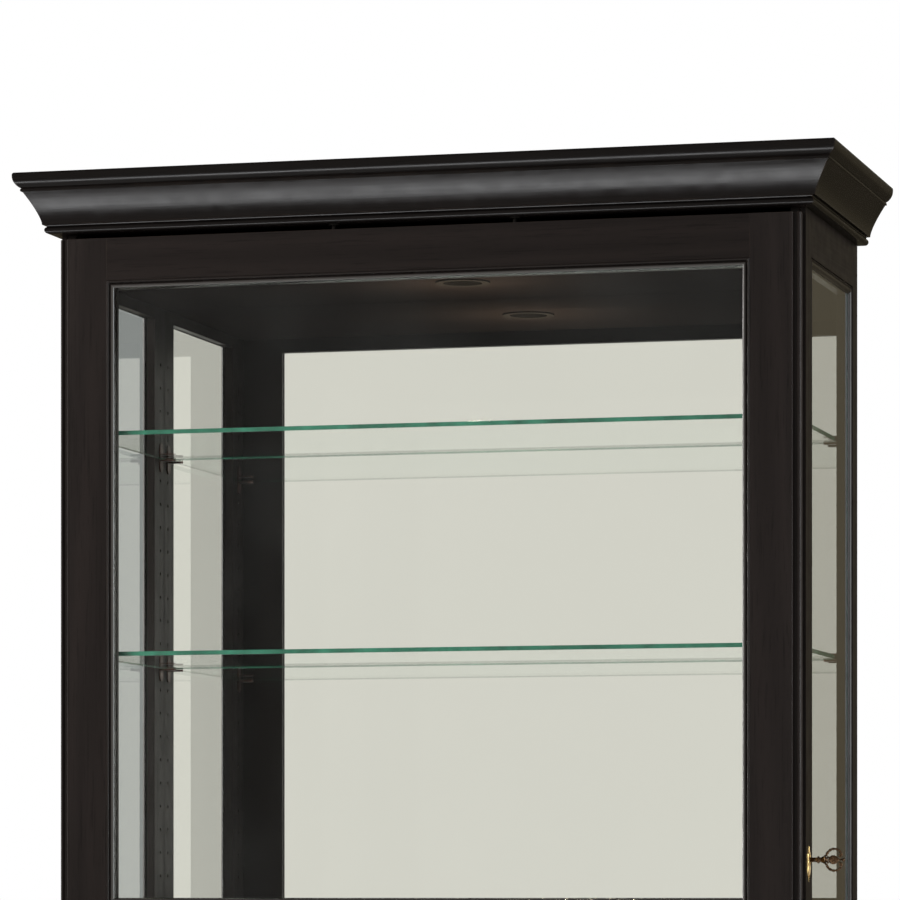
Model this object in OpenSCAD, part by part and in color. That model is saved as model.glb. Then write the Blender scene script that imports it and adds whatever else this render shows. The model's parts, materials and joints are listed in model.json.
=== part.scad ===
// Glass display showcase: a tall framed case with a moulded crown and base,
// glass sides, a mirror back, five glass shelves on clips, and a two-window
// front door on rollers, drawn closed. +Z up, front faces -Y, origin on the
// floor under the middle of the footprint. Millimetres.

/* [Overall] */
// Height from the floor to the top of the crown
total_h = 1980; // [1960:5:2040]
// Width over the side panels
body_w = 987; // [960:1:1010]
// Depth from the front of the crown to the back
total_d = 426; // [420:1:440]
// Height of the middle rail's upper glass line above the floor
mid_z = 1038; // [1030:1:1046]

/* [Crown and base] */
// Height of the crown moulding
crown_h = 76; // [74:1:78]
// Height of the top of the base above the floor
base_top = 98; // [96:1:100]
// Gap under the base that the feet stand in
foot_gap = 12; // [11:1:14]

/* [Door] */
// Width of the front door over its edge beads
door_w = 980; // [966:1:984]
// Width of the groove and bead down each outer edge of the door
edge_w = 10; // [9.5:0.5:10.5]
// Thickness of the door frame
door_t = 18; // [18:0.5:19]
// Flat width of the door stiles
stile_w = 54.5; // [50:0.5:60]
// Flat height of the door's middle rail
mid_rail_h = 46; // [40:1:60]
// Running gap between the door and the case
door_gap = 1.5; // [1.2:0.1:2]
// Width of the glazing bead on the door
bead_w = 10.5; // [9:0.5:11]

/* [Case] */
// Thickness of the side frames
side_t = 19.5; // [19:0.5:20]
// Width of the side frame's front stile
side_front_w = 37.5; // [36:0.5:40]
// Width of the side frame's rear stile
side_rear_w = 35; // [34:0.5:38]
// Width of the glazing bead on the sides
side_bead_w = 12; // [10:0.5:12]
// Thickness of the fixed glass
glass_t = 4; // [3.5:0.1:4]

/* [Shelves] */
// Thickness of the glass shelves
shelf_t = 6; // [5:0.5:6]
// Pitch of the shelf-clip holes
hole_pitch = 32; // [32:1:32]
// Radius of the shelf-clip holes
hole_r = 2.5; // [2.5:0.1:2.6]

/* [Hidden] */
$fn = 48;

wood = [0.13, 0.12, 0.105];
inner_wood = [0.18, 0.165, 0.14];
glass_tint = [0.75, 0.88, 0.83, 0.35];
shelf_tint = [0.35, 0.62, 0.52, 0.5];
mirror_silver = [0.8, 0.83, 0.83];
bronze = [0.27, 0.19, 0.14];
brass = [0.78, 0.62, 0.32];
aluminium = [0.7, 0.7, 0.7];
off_white = [0.85, 0.84, 0.8];
warm_white = [1, 0.93, 0.75];
lamp_grey = [0.2, 0.19, 0.18];
cord_black = [0.12, 0.11, 0.1];
button_grey = [0.75, 0.73, 0.7];

fit = 0.1;   // clearance of loosely fitted parts
snug = 0.05; // clearance of closely fitted parts

// Case
half_w = body_w / 2;                  // half width over the sides
half_in = half_w - side_t;            // half width inside
door_y = -total_d / 2 + 40.5;         // front face of the door
case_y = door_y + door_t + door_gap;  // front of the side frames
mould_y = door_y + 7.5;               // plane the crown and base mouldings are fixed to
back_y = total_d / 2;                 // back of the case
crown_z = total_h - crown_h;          // underside of the crown
crown_frame_h = crown_h - 8;
board_t = 18;                         // bottom deck and top panel
back_t = 3;
mirror_t = 3;
mirror_y = back_y - back_t - mirror_t; // front of the mirror
deck_top = base_top + 48;

// Side windows, to the edges of the flat stiles and rails
side_win_z0 = base_top + 68;
side_win_z1 = mid_z + 808;
side_win_y0 = case_y + side_front_w;
side_win_y1 = back_y - side_rear_w;
side_lip_t = 10.8;
side_glass_x = -half_in - side_lip_t - fit - glass_t; // outer face of the left glass
ceiling_z = side_win_z1 + 4;          // underside of the top panel

// Door, with its windows taken to the edges of the flat stiles and rails
door_z0 = base_top + 4;
door_z1 = crown_z - 8;
door_half = door_w / 2;
face_half = door_half - edge_w;       // half width of the flat face
win_half = face_half - stile_w;       // half width of the windows
upper_z0 = mid_z - bead_w;
upper_z1 = mid_z + 802.5;
lower_z1 = upper_z0 - mid_rail_h;
lower_z0 = door_z0 + 64;
pane_y = door_y + 8;                  // front of the door glass
door_lip_y = pane_y + glass_t + fit;
door_lip_t = door_y + door_t - door_lip_y;

// Track and rollers
track_y = door_y + door_t / 2;        // middle of the track and guide groove
track_w = 9.4;
track_h = 16;
track_inner_h = 14.6;
roller_x = 120;
roller_r = 8;
roller_z = door_z0 + track_inner_h - roller_r - snug;

// Shelves and their two columns of clip holes
top_shelf_z = mid_z + 603.5;
shelf_steps = [0, 9, 20, 30, 39];     // holes down from the top shelf
hole_base_z = top_shelf_z + shelf_t / 2 - 42 * hole_pitch;
clip_front_y = case_y + 22;
clip_rear_y = back_y - 22;

// Levelling feet
leveler_x = half_w - 53;
leveler_front_y = mould_y + 52;
leveler_rear_y = back_y - 52;
leveler_rod_r = 4;

// Lock and its strike plate
lock_y = door_y + 38;
lock_z = mid_z + 48;
lock_r = 8;
plug_r = 6;
blade_t = 2;                          // key blade
blade_h = 7;
strike_x = face_half - 26.95;
strike_w = 22;
strike_h = 44;
strike_t = 1;

// Lamp, cord and switch
lamp_y = 30;
lamp_r = 30;
cord_r = 3.2;
cord_y = back_y - 60;
cord_z = ceiling_z + 25;
switch_x = 380;
switch_z = crown_z + 34;
switch_r = 10;
switch_flange_r = 14;
button_r = 6;

// ---- mouldings ----
function shelf_z(i) = top_shelf_z - shelf_steps[i] * hole_pitch;
function arc(centre_x, centre_y, radius, start, end, steps) = [
  for (i = [0 : steps])
    let (a = start + (end - start) * i / steps)
      [centre_x + radius * cos(a), centre_y + radius * sin(a)]
];
function crown_cove(steps) = [
  for (i = [0 : steps])
    let (t = i / steps)
      [17.5 + 20 * pow(t, 1.35), 12.2 + 40 * t]
];

// Moulding profiles: x is the distance out from the fixing plane, y is the height
module crown_profile() {
  // foot bead, quirk, cove, fillet, quirk, ovolo and a rounded top arris
  polygon(concat(
    [[0, 0]],
    arc(10.7, 4.5, 4.5, -90, 62, 14),
    [[12, 9.6], [12.6, 10.8], [17.5, 11]],
    crown_cove(22),
    [[39.6, 52.4], [39.6, 55], [38.4, 56]],
    arc(31.2, 71.2, 16.8, -57, 0, 14),
    arc(45, crown_h - 3, 3, 0, 90, 6),
    [[0, crown_h]]));
}
module base_profile() {
  // plinth with a cove and bead under the top edge
  top = base_top - foot_gap;
  polygon(concat(
    [[-20, 0], [30, 0], [30, top - 34]],
    arc(27.5, top - 31.5, 2.5, 0, 90, 5),
    [for (i = [0 : 14]) let (t = i / 14) [24 - 10 * pow(t, 0.6), top - 28 + 16 * t]],
    [[13, top - 11]],
    arc(12.2, top - 5.5, 5.2, -80, 80, 12),
    [[11, top], [-20, top]]));
}
module mitre(keep_front) {
  // cuts on the 45 degree plane through the front left corner
  size = 2000;
  difference() {
    children();
    translate([-half_w, mould_y, -10]) rotate([0, 0, 45])
      translate([-size, keep_front ? 0 : -size, 0]) cube([2 * size, size, 200]);
  }
}
module front_run() {
  mitre(true) mirror([1, 0, 0]) mitre(true)
    translate([-half_w - 60, mould_y, 0]) rotate([90, 0, 90])
      linear_extrude(2 * half_w + 120) mirror([1, 0, 0]) children();
}
module left_run() {
  mitre(false) translate([-half_w, back_y, 0]) rotate([90, 0, 0])
    linear_extrude(back_y - mould_y + 60) mirror([1, 0, 0]) children();
}
module bead_strip(length) {
  // a mitred strip along x, its outer edge at y = 0 and its section rising in z
  difference() {
    rotate([90, 0, 90]) linear_extrude(length) children();
    translate([0, 0, -1]) rotate([0, 0, 45]) translate([-50, 0, 0]) cube([200, 100, 40]);
    translate([length, 0, -1]) rotate([0, 0, 45]) translate([0, -50, 0]) cube([100, 200, 40]);
  }
}
module bead_ring(width, height) {
  // four mitred strips round a window in the xy plane
  bead_strip(width) children();
  translate([width, height, 0]) rotate([0, 0, 180]) bead_strip(width) children();
  translate([width, 0, 0]) rotate([0, 0, 90]) bead_strip(height) children();
  translate([0, height, 0]) rotate([0, 0, -90]) bead_strip(height) children();
}

// ---- base ----
module plinth_side() { translate([0, 0, foot_gap]) left_run() base_profile(); }
module plinth_front() { color(wood) translate([0, 0, foot_gap]) front_run() base_profile(); }
module plinth_left() { color(wood) plinth_side(); }
module plinth_right() { color(wood) mirror([1, 0, 0]) plinth_side(); }
module plinth_back() {
  color(wood) translate([-half_in + 0.5, back_y - 20, foot_gap])
    cube([2 * half_in - 1, 20, base_top - foot_gap]);
}
module leveler_blocks() {
  block_z = 30;
  color(inner_wood)
    for (x = [-leveler_x, leveler_x], y = [leveler_front_y, leveler_rear_y])
      translate([x, y, 0]) difference() {
        translate([-32, -31.9, block_z]) cube([64, 63.8, base_top - block_z]);
        translate([0, 0, block_z - 5]) cylinder(r = leveler_rod_r + snug, h = 120);
      }
}
module leveler(x, y) {
  // round foot, hexagon nut and threaded rod
  color(aluminium) translate([x, y, 0]) {
    cylinder(r1 = 15, r2 = 16, h = 2);
    translate([0, 0, 2]) cylinder(r = 16, h = 3);
    translate([0, 0, 5]) cylinder(r1 = 16, r2 = 8, h = 3);
    translate([0, 0, 8]) cylinder(r = 6.5, h = 6, $fn = 6);
    cylinder(r = leveler_rod_r, h = 70);
  }
}
module leveler_front_left() { leveler(-leveler_x, leveler_front_y); }
module leveler_front_right() { leveler(leveler_x, leveler_front_y); }
module leveler_rear_left() { leveler(-leveler_x, leveler_rear_y); }
module leveler_rear_right() { leveler(leveler_x, leveler_rear_y); }

// ---- side frames, drawn on the left and mirrored ----
module clip_holes(y) {
  for (i = [1 : 46])
    translate([-half_in - 9, y, hole_base_z + i * hole_pitch]) rotate([0, 90, 0])
      cylinder(r = hole_r, h = 12, $fn = 16);
}
module side_lip(y, z, depth, height) {
  // the lip on the inner side of the glass
  translate([-half_in - side_lip_t, y, z]) cube([side_lip_t, depth, height]);
}
module front_stile() {
  difference() {
    union() {
      translate([0, 0, base_top]) linear_extrude(crown_z - base_top) difference() {
        translate([-half_w, case_y]) square([side_t, side_front_w]);
        // groove down the front edge
        translate([-half_w + 6.6, case_y - 1]) square([1.6, 3.4]);
      }
      side_lip(side_win_y0, side_win_z0, side_bead_w, side_win_z1 - side_win_z0);
    }
    clip_holes(clip_front_y);
  }
}
module rear_stile() {
  difference() {
    union() {
      translate([-half_w, side_win_y1, base_top])
        cube([side_t, side_rear_w, crown_z - base_top]);
      side_lip(side_win_y1 - side_bead_w, side_win_z0, side_bead_w, side_win_z1 - side_win_z0);
    }
    clip_holes(clip_rear_y);
  }
}
module side_rail(z, height, lip_z) {
  depth = side_win_y1 - side_win_y0;
  translate([-half_w, side_win_y0, z]) cube([side_t, depth, height]);
  side_lip(side_win_y0 + side_bead_w, lip_z, depth - 2 * side_bead_w, side_bead_w);
}
module top_rail() { side_rail(side_win_z1, crown_z - side_win_z1, side_win_z1 - side_bead_w); }
module bottom_rail() { side_rail(base_top, side_win_z0 - base_top, side_win_z0); }
module side_glass() {
  translate([side_glass_x, side_win_y0 + 1, side_win_z0 + 1])
    cube([glass_t, side_win_y1 - side_win_y0 - 2, side_win_z1 - side_win_z0 - 2]);
}
module side_bead_profile() {
  // x runs in from the frame edge, y out from the glass
  rise = side_t - side_lip_t - glass_t - 2 * fit;
  polygon(concat(
    [[0, 0], [0, rise - 1.2], [2.2, rise - 0.2], [3, rise - 1.6]],
    arc(6.2, rise - 3.2, 2.8, 100, 10, 8),
    [[11.2, 1.2], [side_bead_w, 0]]));
}
module side_bead() {
  translate([side_glass_x - fit, side_win_y1 - fit, side_win_z0 + fit]) rotate([90, 0, -90])
    bead_ring(side_win_y1 - side_win_y0 - 2 * fit, side_win_z1 - side_win_z0 - 2 * fit)
      side_bead_profile();
}
module left_front_stile() { color(wood) front_stile(); }
module left_rear_stile() { color(wood) rear_stile(); }
module left_top_rail() { color(wood) top_rail(); }
module left_bottom_rail() { color(wood) bottom_rail(); }
module left_glass() { color(glass_tint) side_glass(); }
module left_bead() { color(wood) side_bead(); }
module right_front_stile() {
  color(wood) difference() {
    mirror([1, 0, 0]) front_stile();
    lock_axis(half_in - 1) cylinder(r = lock_r + fit, h = side_t + 2);
  }
}
module right_rear_stile() { color(wood) mirror([1, 0, 0]) rear_stile(); }
module right_top_rail() { color(wood) mirror([1, 0, 0]) top_rail(); }
module right_bottom_rail() { color(wood) mirror([1, 0, 0]) bottom_rail(); }
module right_glass() { color(glass_tint) mirror([1, 0, 0]) side_glass(); }
module right_bead() { color(wood) mirror([1, 0, 0]) side_bead(); }

// ---- case boards ----
module screws(clearance) {
  // a row into the edge of each case board, heads flush with the back
  shank_r = 1.8 + clearance;
  for (x = [-400 : 200 : 400], z = [deck_top - board_t / 2, ceiling_z + board_t / 2])
    translate([x, back_y, z]) rotate([90, 0, 0]) {
      cylinder(r1 = 3.6 + clearance, r2 = shank_r, h = 2.2);
      cylinder(r = shank_r, h = 22 + clearance);
    }
}
module case_board(z) {
  translate([-half_in, case_y, z]) cube([2 * half_in, back_y - back_t - case_y, board_t]);
}
module bottom_deck() {
  color(inner_wood) difference() {
    case_board(deck_top - board_t);
    screws(snug);
  }
}
module top_panel() {
  color(inner_wood) difference() {
    case_board(ceiling_z);
    screws(snug);
    translate([0, lamp_y, ceiling_z - 1]) cylinder(r = lamp_r + 0.5, h = board_t + 2);
  }
}
module back_mirror() {
  color(mirror_silver) translate([-half_in + 0.5, mirror_y, deck_top + 0.5])
    cube([2 * half_in - 1, mirror_t, ceiling_z - deck_top - 1]);
}
module back_panel() {
  color(inner_wood) difference() {
    translate([-half_in + 0.2, back_y - back_t, base_top + 1])
      cube([2 * half_in - 0.4, back_t, crown_z - base_top - 2]);
    screws(snug);
  }
}
module back_screws() { color(aluminium) screws(0); }

// ---- crown ----
module switch_axis(y) {
  // z of the children runs forward from y
  translate([switch_x, y, switch_z]) rotate([90, 0, 0]) children();
}
module crown_frame() {
  wall = 20;
  depth = back_y - mould_y;
  color(inner_wood) difference() {
    translate([-half_w, mould_y, crown_z]) cube([2 * half_w, depth, crown_frame_h]);
    translate([-half_in, mould_y + wall, crown_z - 1])
      cube([2 * half_in, depth - 2 * wall, crown_frame_h + 2]);
    switch_axis(back_y + 1) cylinder(r = switch_r + fit, h = 30);
    switch_axis(back_y + 1) cylinder(r = switch_flange_r + fit, h = 6);
  }
}
module crown_side() { translate([0, 0, crown_z]) left_run() crown_profile(); }
module crown_front() { color(wood) translate([0, 0, crown_z]) front_run() crown_profile(); }
module crown_left() { color(wood) crown_side(); }
module crown_right() { color(wood) mirror([1, 0, 0]) crown_side(); }
module dust_cover() {
  color(inner_wood) translate([-half_w + 0.5, mould_y + 0.5, crown_z + crown_frame_h])
    cube([2 * half_w - 1, back_y - mould_y - 1, 4]);
}

// ---- shelves ----
module shelf(i) {
  front_y = case_y + 4.5;
  color(shelf_tint) translate([-half_in + 2.5, front_y, shelf_z(i)])
    cube([2 * half_in - 5, mirror_y - 2 - front_y, shelf_t]);
}
module shelf_1() { shelf(0); }
module shelf_2() { shelf(1); }
module shelf_3() { shelf(2); }
module shelf_4() { shelf(3); }
module shelf_5() { shelf(4); }
clip_r = 6;    // half width of the clip's plate and tongues
clip_t = 2;
tongue_t = 2.4;
module tongue(z) {
  translate([0, 0, z]) linear_extrude(tongue_t) union() {
    translate([0, -clip_r]) square([14, 2 * clip_r]);
    translate([14, 0]) circle(r = clip_r);
  }
}
module clip() {
  // origin on the stile's inner face, level with the shelf's middle, tongues towards +x
  rotate([90, 0, 90]) linear_extrude(clip_t) union() {
    translate([-clip_r, -14]) square([2 * clip_r, 28]);
    translate([0, 14]) circle(r = clip_r);
    translate([0, -14]) circle(r = clip_r);
  }
  translate([clip_t, 0, 0]) {
    tongue(-shelf_t / 2 - tongue_t);
    tongue(shelf_t / 2 + fit);
  }
  rotate([0, -90, 0]) cylinder(r = hole_r - fit, h = 8, $fn = 16);
}
module shelf_clips() {
  color(bronze) for (side = [0, 1]) mirror([side, 0, 0])
    for (i = [0 : 4], y = [clip_front_y, clip_rear_y])
      translate([-half_in, y, shelf_z(i) + shelf_t / 2]) clip();
}

// ---- door ----
module door_slot(width, z, height) {
  translate([-face_half + 9.5, track_y - width / 2, z]) cube([2 * face_half - 19, width, height]);
}
module track_slot() { door_slot(track_w + 2 * fit, door_z0 - 1, track_h + fit + 1); }
module guide_slot() { door_slot(6.4, door_z1 - 12, 13); }
module door_lip(x, z, width, height) {
  // the lip behind the glass
  translate([x, door_lip_y, z]) cube([width, door_lip_t, height]);
}
module stile_section() {
  // x runs in from the outer edge, y back from the face
  edge_bead_w = edge_w - 5.5;
  edge_bead_r = edge_bead_w / 2;
  polygon(concat(
    [[0, door_t]],
    arc(edge_bead_r, 2.6 + edge_bead_r, edge_bead_r, 180, 360, 12),
    [[edge_bead_w, 5.4], [edge_w, 5.4]],
    arc(edge_w + 0.8, 0.8, 0.8, 180, 270, 3),
    [[edge_w + stile_w, 0], [edge_w + stile_w, door_t]]));
}
module door_stile() {
  difference() {
    union() {
      translate([-door_half, door_y, door_z0]) linear_extrude(door_z1 - door_z0) stile_section();
      door_lip(-win_half, lower_z0, bead_w, lower_z1 - lower_z0);
      door_lip(-win_half, upper_z0, bead_w, upper_z1 - upper_z0);
    }
    track_slot();
    guide_slot();
  }
}
module door_left_stile() { color(wood) door_stile(); }
module door_right_stile() {
  color(wood) difference() {
    mirror([1, 0, 0]) door_stile();
    // recess for the strike plate
    translate([strike_x - snug, door_y + door_t - strike_t - snug, lock_z - strike_h / 2 - snug])
      cube([strike_w + 2 * snug, 2, strike_h + 2 * snug]);
  }
}
module door_rail(bottom, top) {
  translate([-win_half, door_y, bottom]) cube([2 * win_half, door_t, top - bottom]);
}
module rail_lip(z) { door_lip(-win_half + bead_w, z, 2 * win_half - 2 * bead_w, bead_w); }
module door_top_rail() {
  color(wood) difference() {
    union() {
      door_rail(upper_z1, door_z1);
      rail_lip(upper_z1 - bead_w);
    }
    guide_slot();
  }
}
module door_mid_rail() {
  color(wood) union() {
    door_rail(lower_z1, upper_z0);
    rail_lip(upper_z0);
    rail_lip(lower_z1 - bead_w);
  }
}
module door_bottom_rail() {
  color(wood) difference() {
    union() {
      door_rail(door_z0, lower_z0);
      rail_lip(lower_z0);
    }
    track_slot();
  }
}
module door_pane(bottom, top) {
  color(glass_tint) translate([-win_half + 0.5, pane_y, bottom + 0.5])
    cube([2 * win_half - 1, glass_t, top - bottom - 1]);
}
module door_glass_upper() { door_pane(upper_z0, upper_z1); }
module door_glass_lower() { door_pane(lower_z0, lower_z1); }
module door_bead_profile() {
  // fillet by the frame, a quirk, then a round bead down to the glass
  polygon(concat(
    [[0, 0], [0, 7.4]],
    arc(1.5, 7.4, 1.5, 180, 20, 8),
    [[3.1, 5.6], [4, 5]],
    arc(6.8, 4.2, 2.9, 160, 20, 10),
    [[bead_w - 0.4, 2.2], [bead_w, 1.2], [bead_w, 0]]));
}
module door_bead(bottom, top) {
  color(wood) translate([-win_half + fit, pane_y - snug, bottom + fit]) rotate([90, 0, 0])
    bead_ring(2 * win_half - 2 * fit, top - bottom - 2 * fit) door_bead_profile();
}
module door_bead_upper() { door_bead(upper_z0, upper_z1); }
module door_bead_lower() { door_bead(lower_z0, lower_z1); }
module door_track() {
  // inverted channel, closed at both ends
  wall = 1;
  color(aluminium) difference() {
    translate([-face_half + 10, track_y - track_w / 2, door_z0])
      cube([2 * face_half - 20, track_w, track_h]);
    translate([-face_half + 13, track_y - track_w / 2 + wall, door_z0 - 1])
      cube([2 * face_half - 26, track_w - 2 * wall, track_inner_h + 1]);
  }
}
module door_strike() {
  color(brass) translate([strike_x, door_y + door_t - strike_t, lock_z - strike_h / 2])
    difference() {
      cube([strike_w, strike_t, strike_h]);
      translate([7, -1, 13]) cube([8, 3, 18]);
    }
}

// ---- rollers and guides ----
module roller(x) {
  width = 4;
  color(off_white) translate([x, track_y - width / 2, roller_z]) rotate([-90, 0, 0])
    difference() {
      cylinder(r = roller_r, h = width);
      translate([0, 0, -1]) cylinder(r = 1.5 + snug, h = width + 2);
    }
}
module roller_left() { roller(-roller_x); }
module roller_right() { roller(roller_x); }
module roller_brackets() {
  // foot plate, two cheeks and an axle
  width = 6.6;
  cheek_t = 1;
  color(aluminium) for (side = [-1, 1]) translate([side * roller_x, track_y, 0]) union() {
    translate([-16, -width / 2, base_top]) cube([32, width, 1.2]);
    for (y = [-width / 2, width / 2 - cheek_t])
      translate([-6, y, base_top]) cube([12, cheek_t, roller_z + 3.5 - base_top]);
    translate([0, -width / 2, roller_z]) rotate([-90, 0, 0]) cylinder(r = 1.5, h = width);
  }
}
module guide_pins() {
  color(off_white) for (side = [-1, 1]) translate([side * roller_x, track_y, 0]) {
    translate([0, 0, crown_z - 2]) cylinder(r = 7, h = 2);
    translate([0, 0, crown_z - 16]) cylinder(r = 2.5, h = 16);
  }
}

// ---- lock, in the right front stile ----
module lock_axis(x) {
  // z of the children runs along +x from x
  translate([x, lock_y, lock_z]) rotate([0, 90, 0]) children();
}
module lock_body() {
  color(brass) difference() {
    union() {
      lock_axis(half_in - 9) cylinder(r = lock_r, h = 9 + side_t);
      lock_axis(half_in - 3) cylinder(r = 12, h = 3);
    }
    lock_axis(half_in - 20) cylinder(r = plug_r + snug, h = side_t + 30);
  }
}
module lock_plug() {
  // plug with an upright arm at its inner end and a slot for the key blade
  reach = 11.5;
  inner_x = half_in - reach;
  color(brass) difference() {
    union() {
      lock_axis(inner_x) cylinder(r = plug_r, h = reach + side_t);
      translate([inner_x, lock_y - 5, lock_z - 5]) cube([2, 10, 21]);
      translate([inner_x, lock_y, lock_z + 16]) rotate([0, 90, 0]) cylinder(r = 1, h = 2);
    }
    translate([half_in - 4, lock_y - blade_t / 2 - snug, lock_z - blade_h / 2 - snug])
      cube([40, blade_t + 2 * snug, blade_h + 2 * snug]);
  }
}
// Escutcheon outline: [y, z] from the plate's centre
escutcheon_outline = [
  [0, 23], [2, 17], [7, 15], [9.5, 9], [8, 0], [9.5, -9], [7, -15], [2, -17],
  [0, -23], [-2, -17], [-7, -15], [-9.5, -9], [-8, 0], [-9.5, 9], [-7, 15], [-2, 17]
];
module escutcheon() {
  color(brass) difference() {
    translate([half_w, lock_y, lock_z - 5]) rotate([90, 0, 90])
      linear_extrude(1.6) polygon(escutcheon_outline);
    lock_axis(half_w - 1) cylinder(r = 6.4, h = 5);
  }
}
// Turned key shaft with collars, lobe and finial: [radius, distance along the axis]
key_turning = [
  [0, 0], [2.4, 0], [2.4, 10.5], [4.2, 10.9], [4.2, 12.7], [2.4, 13.1], [2.4, 15.5],
  [5, 15.5], [3.4, 19.5], [2.2, 20.2], [2.2, 22.4], [4.2, 24.6], [5.3, 28.4],
  [4.2, 32.2], [2, 34.8], [1.6, 36.4], [1.6, 42.8], [2.4, 43.6], [2.4, 45.2],
  [1.2, 46.4], [0, 46.4]
];
module key() {
  // flat blade, turned shaft, and a ring bow of octagonal section round the lobe
  bow_r = 12;
  wire_r = 1.95;
  color(bronze) union() {
    translate([half_in - 3, lock_y - blade_t / 2, lock_z - blade_h / 2])
      cube([side_t + 4.5, blade_t, blade_h]);
    lock_axis(half_w + 1) rotate_extrude() polygon(key_turning);
    translate([half_w + 33.4, lock_y, lock_z]) rotate([90, 0, 0]) rotate_extrude()
      polygon([for (i = [0 : 7]) let (a = 22.5 + 45 * i)
        [bow_r + wire_r * cos(a), wire_r * sin(a)]]);
  }
}

// ---- lamp ----
module lamp_housing() {
  // can with a flange under the top panel and a hole for the cord at the back
  color(lamp_grey) translate([0, lamp_y, ceiling_z]) difference() {
    union() {
      translate([0, 0, -2]) cylinder(r = 36, h = 2);
      cylinder(r = lamp_r, h = 42);
    }
    translate([0, 0, -3]) cylinder(r = 26, h = 42);
    translate([0, 0, cord_z - ceiling_z]) rotate([-90, 0, 0]) cylinder(r = 3.6, h = 60);
  }
}
module lamp_bulb() {
  // lens set 14 mm up inside the can, with its lamp and holder above
  color(warm_white) translate([0, lamp_y, ceiling_z]) {
    translate([0, 0, 14]) cylinder(r = 24, h = 3);
    translate([0, 0, 17]) cylinder(r1 = 24, r2 = 9, h = 12);
    translate([0, 0, 29]) cylinder(r = 9, h = 10);
  }
}
module cord_switch() {
  cord_start = lamp_y + 27;
  color(cord_black) {
    // cord: back from the lamp, up, across to the right and back to the switch
    translate([0, cord_start, cord_z]) rotate([-90, 0, 0])
      cylinder(r = cord_r, h = cord_y - cord_start);
    translate([0, cord_y, cord_z]) sphere(r = cord_r);
    translate([0, cord_y, cord_z]) cylinder(r = cord_r, h = switch_z - cord_z);
    translate([0, cord_y, switch_z]) sphere(r = cord_r);
    translate([0, cord_y, switch_z]) rotate([0, 90, 0]) cylinder(r = cord_r, h = switch_x);
    translate([switch_x, cord_y, switch_z]) sphere(r = cord_r);
    translate([switch_x, cord_y, switch_z]) rotate([-90, 0, 0]) cylinder(r = cord_r, h = 20);
    // switch barrel and flange, bored for the button
    difference() {
      union() {
        switch_axis(back_y - 5) cylinder(r = switch_r, h = 37);
        switch_axis(back_y - 2) cylinder(r = switch_flange_r, h = 3);
      }
      switch_axis(back_y + 1) cylinder(r = button_r + snug, h = 24);
    }
  }
}
module switch_button() {
  chamfer_h = 0.6;
  color(button_grey) switch_axis(back_y) {
    translate([0, 0, chamfer_h]) cylinder(r = button_r, h = 14);
    cylinder(r1 = 5.2, r2 = button_r, h = chamfer_h);
  }
}

plinth_front();
plinth_left();
plinth_right();
plinth_back();
leveler_blocks();
leveler_front_left();
leveler_front_right();
leveler_rear_left();
leveler_rear_right();
bottom_deck();
left_front_stile();
left_rear_stile();
left_top_rail();
left_bottom_rail();
left_glass();
left_bead();
right_front_stile();
right_rear_stile();
right_top_rail();
right_bottom_rail();
right_glass();
right_bead();
top_panel();
crown_frame();
crown_front();
crown_left();
crown_right();
dust_cover();
back_mirror();
back_panel();
back_screws();
shelf_1();
shelf_2();
shelf_3();
shelf_4();
shelf_5();
shelf_clips();
door_left_stile();
door_right_stile();
door_top_rail();
door_mid_rail();
door_bottom_rail();
door_glass_upper();
door_glass_lower();
door_bead_upper();
door_bead_lower();
door_track();
door_strike();
roller_left();
roller_right();
roller_brackets();
guide_pins();
lock_body();
lock_plug();
escutcheon();
key();
lamp_housing();
lamp_bulb();
cord_switch();
switch_button();
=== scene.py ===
import json
import math
import random

import bmesh
import bpy
from mathutils import Matrix, Vector

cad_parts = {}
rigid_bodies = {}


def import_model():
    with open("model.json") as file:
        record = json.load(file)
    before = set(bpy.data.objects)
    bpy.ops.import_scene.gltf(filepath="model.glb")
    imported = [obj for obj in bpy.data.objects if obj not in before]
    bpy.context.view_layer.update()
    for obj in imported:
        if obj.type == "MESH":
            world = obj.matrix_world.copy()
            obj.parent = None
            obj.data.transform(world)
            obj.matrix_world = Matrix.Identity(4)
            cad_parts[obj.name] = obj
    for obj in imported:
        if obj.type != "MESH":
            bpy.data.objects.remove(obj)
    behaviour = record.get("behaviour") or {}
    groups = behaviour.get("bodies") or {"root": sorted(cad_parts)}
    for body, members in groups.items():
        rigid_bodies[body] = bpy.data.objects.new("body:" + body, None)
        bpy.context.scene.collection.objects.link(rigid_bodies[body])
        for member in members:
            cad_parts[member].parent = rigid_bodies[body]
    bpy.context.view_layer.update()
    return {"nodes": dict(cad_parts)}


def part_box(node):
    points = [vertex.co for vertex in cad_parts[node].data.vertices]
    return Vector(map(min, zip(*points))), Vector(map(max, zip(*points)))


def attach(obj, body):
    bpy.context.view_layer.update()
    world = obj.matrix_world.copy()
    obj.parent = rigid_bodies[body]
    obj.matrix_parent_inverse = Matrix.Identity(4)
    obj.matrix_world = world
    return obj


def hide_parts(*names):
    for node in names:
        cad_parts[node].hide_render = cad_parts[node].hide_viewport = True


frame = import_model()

NODES = frame["nodes"]
random.seed(7)
scene = bpy.context.scene
COLL = scene.collection


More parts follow.
